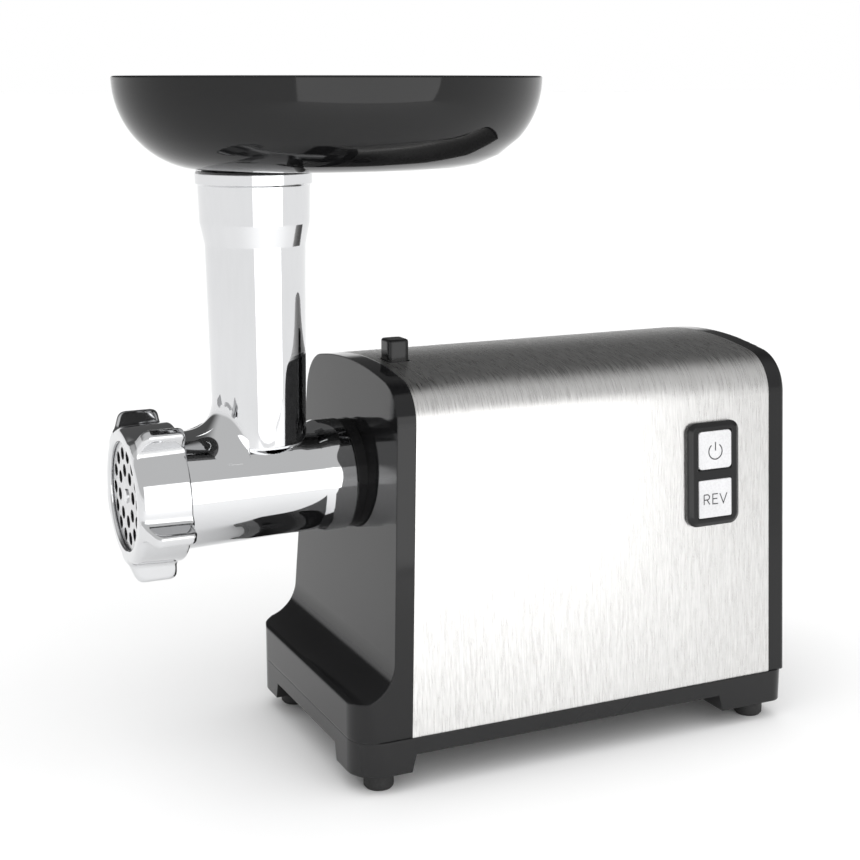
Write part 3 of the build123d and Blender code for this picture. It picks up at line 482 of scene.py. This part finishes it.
def tray_rings(inset, floor, sweep, neck_radius, neck_foot, count):
    """Rings of one side of the shell, from the foot of the neck to the rim."""
    rings = []
    for share in (0.0, 0.3, 0.6, 0.85):
        rings.append(neck_ring(neck_radius, neck_foot + (floor - 0.001 - neck_foot) * share, count))
    start = neck_ring(neck_radius + NECK_ROUND, 0.0, count)
    wide = tray_ring(inset + sweep * (1 - math.sin(math.radians(JOIN_TURN))), 0.0, count)
    for share in [0.01, 0.03, 0.06] + [0.1 * k for k in range(1, 10)]:
        ring = []
        for a, b in zip(start, wide):
            x = a[0] + (b[0] - a[0]) * share
            y = a[1] + (b[1] - a[1]) * share
            ring.append((x, y, tray_height(x, y, inset, sweep, floor)))
        rings.append(ring)
    for step in range(15):
        turn = math.radians(JOIN_TURN + 3 * step)
        height = floor + sweep * (1 - math.cos(turn))
        rings.append(tray_ring(inset + sweep * (1 - math.sin(turn)), height, count))
    return rings


def hopper_tray():
    count = 256
    outside = tray_rings(0.0, TRAY_FLOOR, TRAY_SWEEP, NECK_OUT, TRAY_LOW.z, count)
    floor = TRAY_FLOOR + TRAY_WALL
    inside = tray_rings(TRAY_WALL, floor, TRAY_SWEEP - TRAY_WALL, NECK_IN, TRAY_LOW.z, count)
    lip = []
    for step in range(9):
        turn = math.pi * step / 8
        inset = TRAY_WALL / 2 * (1 - math.cos(turn))
        lip.append(tray_ring(inset, TRAY_HIGH.z - RIM_RISE + RIM_RISE * math.sin(turn), count))
    points, faces = skin(outside + lip + inside[::-1])
    made = add_piece("oval_tray", points, faces, "tray_black", "tray")
    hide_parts("hopper_tray")


# ---------------------------------------------------------------- marks on the buttons

SIDE_SLOPE = 0.0766     # how far the control side leans in for each unit of height


def on_button(node, points):
    """Puts (along, up) points, measured from the middle of a button's face, onto that face."""
    low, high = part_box(node)
    lean = math.atan(SIDE_SLOPE)
    up = Vector((-math.sin(lean), 0, math.cos(lean)))
    out = Vector((math.cos(lean), 0, math.sin(lean)))
    half = (high.y - low.y) / 2
    face = Vector((high.x - half * math.sin(lean), (low.y + high.y) / 2, high.z - half * math.cos(lean)))
    return [face + Vector((0, 1, 0)) * a + up * b for a, b in points], out


def ribbon(name, node, strokes, width, rides_on):
    """Flat raised lines; each stroke is a list of (along, up) points."""
    vertices, faces = [], []
    for stroke in strokes:
        left, right = [], []
        for i, (a, b) in enumerate(stroke):
            before, after = stroke[max(0, i - 1)], stroke[min(len(stroke) - 1, i + 1)]
            first = Vector((a - before[0], b - before[1]))
            second = Vector((after[0] - a, after[1] - b))
            one = first.normalized() if first.length else second.normalized()
            two = second.normalized() if second.length else one
            run = (one + two).normalized()
            grow = min(2.5, 1 / max(0.35, run.dot(one)))
            aside = Vector((-run.y, run.x)) * width / 2 * grow
            left.append((a + aside.x, b + aside.y))
            right.append((a - aside.x, b - aside.y))
        sides, out = on_button(node, left + right)
        count = len(stroke)
        start = len(vertices)
        for lift in (-0.00005, 0.00012):
            vertices += [p + out * lift for p in sides]
        top = start + 2 * count
        for i in range(count - 1):
            faces.append((top + i, top + count + i, top + count + i + 1, top + i + 1))
            faces.append((start + i, start + i + 1, start + count + i + 1, start + count + i))
            faces.append((start + i, top + i, top + i + 1, start + i + 1))
            faces.append((start + count + i, start + count + i + 1, top + count + i + 1, top + count + i))
        for i in (0, count - 1):
            end = (start + i, start + count + i, top + count + i, top + i)
            faces.append(end if i == 0 else end[::-1])
    made = add_piece(name, vertices, faces, "button_white", rides_on, LEGEND)
    made.data.polygons.foreach_set("use_smooth", [False] * len(made.data.polygons))


def button_marks():
    ring = 0.0041
    gap = 36
    arc = []
    for step in range(41):
        turn = math.radians(90 + gap + (360 - 2 * gap) * step / 40)
        arc.append((ring * math.cos(turn), ring * math.sin(turn) - 0.0006))
    bar = [(0.0, 0.0043), (0.0, -0.0002)]
    ribbon("power_mark", "power_button", [arc, bar], 0.00062, "power_key")

    half = 0.0026
    bowl = [(-0.0072, half)]
    for step in range(9):
        turn = math.radians(90 - 22.5 * step)
        bowl.append((-0.0052 + 0.00135 * math.cos(turn), half - 0.00135 + 0.00135 * math.sin(turn)))
    bowl.append((-0.0072, half - 0.0027))
    strokes = [
        [(-0.0072, -half), (-0.0072, half)], bowl, [(-0.0054, half - 0.0027), (-0.0037, -half)],
        [(0.0014, half), (-0.0018, half), (-0.0018, -half), (0.0014, -half)],
        [(-0.0018, 0.0001), (0.0010, 0.0001)],
        [(0.0026, half), (0.0048, -half), (0.0070, half)],
    ]
    ribbon("reverse_mark", "rev_button", strokes, 0.00055, "rev_key")


# ---------------------------------------------------------------- stage, light and camera

CAMERA_PLACE = Vector((0.7215, -0.3424, 0.340))
CAMERA_TURN = 65.15
CAMERA_PITCH = 12.59


def camera():
    data = bpy.data.cameras.new("camera")
    data.lens = 65.6
    data.sensor_width = 36.0
    data.clip_end = 100.0
    made = bpy.data.objects.new("camera", data)
    made.location = CAMERA_PLACE
    made.rotation_euler = Euler((math.radians(90 - CAMERA_PITCH), 0.0, math.radians(CAMERA_TURN)))
    bpy.context.scene.collection.objects.link(made)
    bpy.context.scene.camera = made


def panel(name, place, facing, width, height, glow, seen=True):
    """A soft box; glow is how bright its face looks, 1 being white."""
    data = bpy.data.lights.new(name, "AREA")
    data.shape = "RECTANGLE"
    data.size = width
    data.size_y = height
    data.energy = glow * math.pi * width * height
    made = bpy.data.objects.new(name, data)
    made.location = place
    made.rotation_euler = (Vector(facing) - Vector(place)).to_track_quat("-Z", "Y").to_euler()
    made.visible_glossy = seen
    made.visible_camera = False
    bpy.context.scene.collection.objects.link(made)


FILL_STRENGTH = 2.5


def sky_fill():
    """Even light from above for the floor and dull surfaces; mirrors do not show it."""
    data = bpy.data.lights.new("sky_fill", "SUN")
    data.energy = FILL_STRENGTH
    data.angle = math.radians(110)
    made = bpy.data.objects.new("sky_fill", data)
    made.visible_glossy = False
    bpy.context.scene.collection.objects.link(made)


def floor():
    reach = 40.0
    data = bpy.data.meshes.new("floor")
    corners = [(-reach, -reach, 0), (reach, -reach, 0), (reach, reach, 0), (-reach, reach, 0)]
    data.from_pydata(corners, [], [(0, 1, 2, 3)])
    made = bpy.data.objects.new("floor", data)
    bpy.context.scene.collection.objects.link(made)
    finish = Finish("studio_floor", (0.86, 0.86, 0.86), 0.9, Specular_IOR_Level=0.2)
    finish.vary_colour(finish.noise(3.0, 2.0), (0.85, 0.85, 0.85), (0.87, 0.87, 0.87))
    data.materials.append(finish.material)


def studio():
    """Light grey room: white at floor level, darker high up behind the machine."""
    world = bpy.data.worlds.new("studio")
    world.use_nodes = True
    tree = world.node_tree
    sky = tree.nodes["Background"]
    direction = tree.nodes.new("ShaderNodeTexCoord").outputs["Generated"]
    split = tree.nodes.new("ShaderNodeSeparateXYZ")
    tree.links.new(direction, split.inputs["Vector"])
    away = tree.nodes.new("ShaderNodeVectorMath")
    away.operation = "DOT_PRODUCT"
    away.inputs[1].default_value = (-0.907, 0.42, 0.0)
    tree.links.new(direction, away.inputs[0])

    def ramp(source, start, end):
        node = tree.nodes.new("ShaderNodeMapRange")
        node.interpolation_type = "SMOOTHSTEP"
        node.inputs["From Min"].default_value = start
        node.inputs["From Max"].default_value = end
        tree.links.new(source, node.inputs["Value"])
        return node.outputs["Result"]

    def mix(factor, a, b):
        node = tree.nodes.new("ShaderNodeMix")
        node.data_type = "FLOAT"
        tree.links.new(factor, node.inputs["Factor"])
        for socket, value in (("A", a), ("B", b)):
            if isinstance(value, float):
                node.inputs[socket].default_value = value
            else:
                tree.links.new(value, node.inputs[socket])
        return node.outputs["Result"]

    high = ramp(split.outputs["Z"], 0.055, 0.16)
    upper = mix(ramp(away.outputs["Value"], -0.1, 0.55), 0.66, 0.10)
    tree.links.new(mix(high, 1.0, upper), sky.inputs["Strength"])
    sky.inputs["Color"].default_value = (1.0, 1.0, 1.0, 1.0)
    bpy.context.scene.world = world
    bpy.context.scene.view_settings.view_transform = "Standard"


ring_nut()
tube_web()
hopper_tray()
button_marks()
camera()
floor()
studio()
panel("side_panel", (0.64, 0.05, 0.23), (0.0, 0.05, 0.20), 0.80, 0.45, 1.38)
sky_fill()
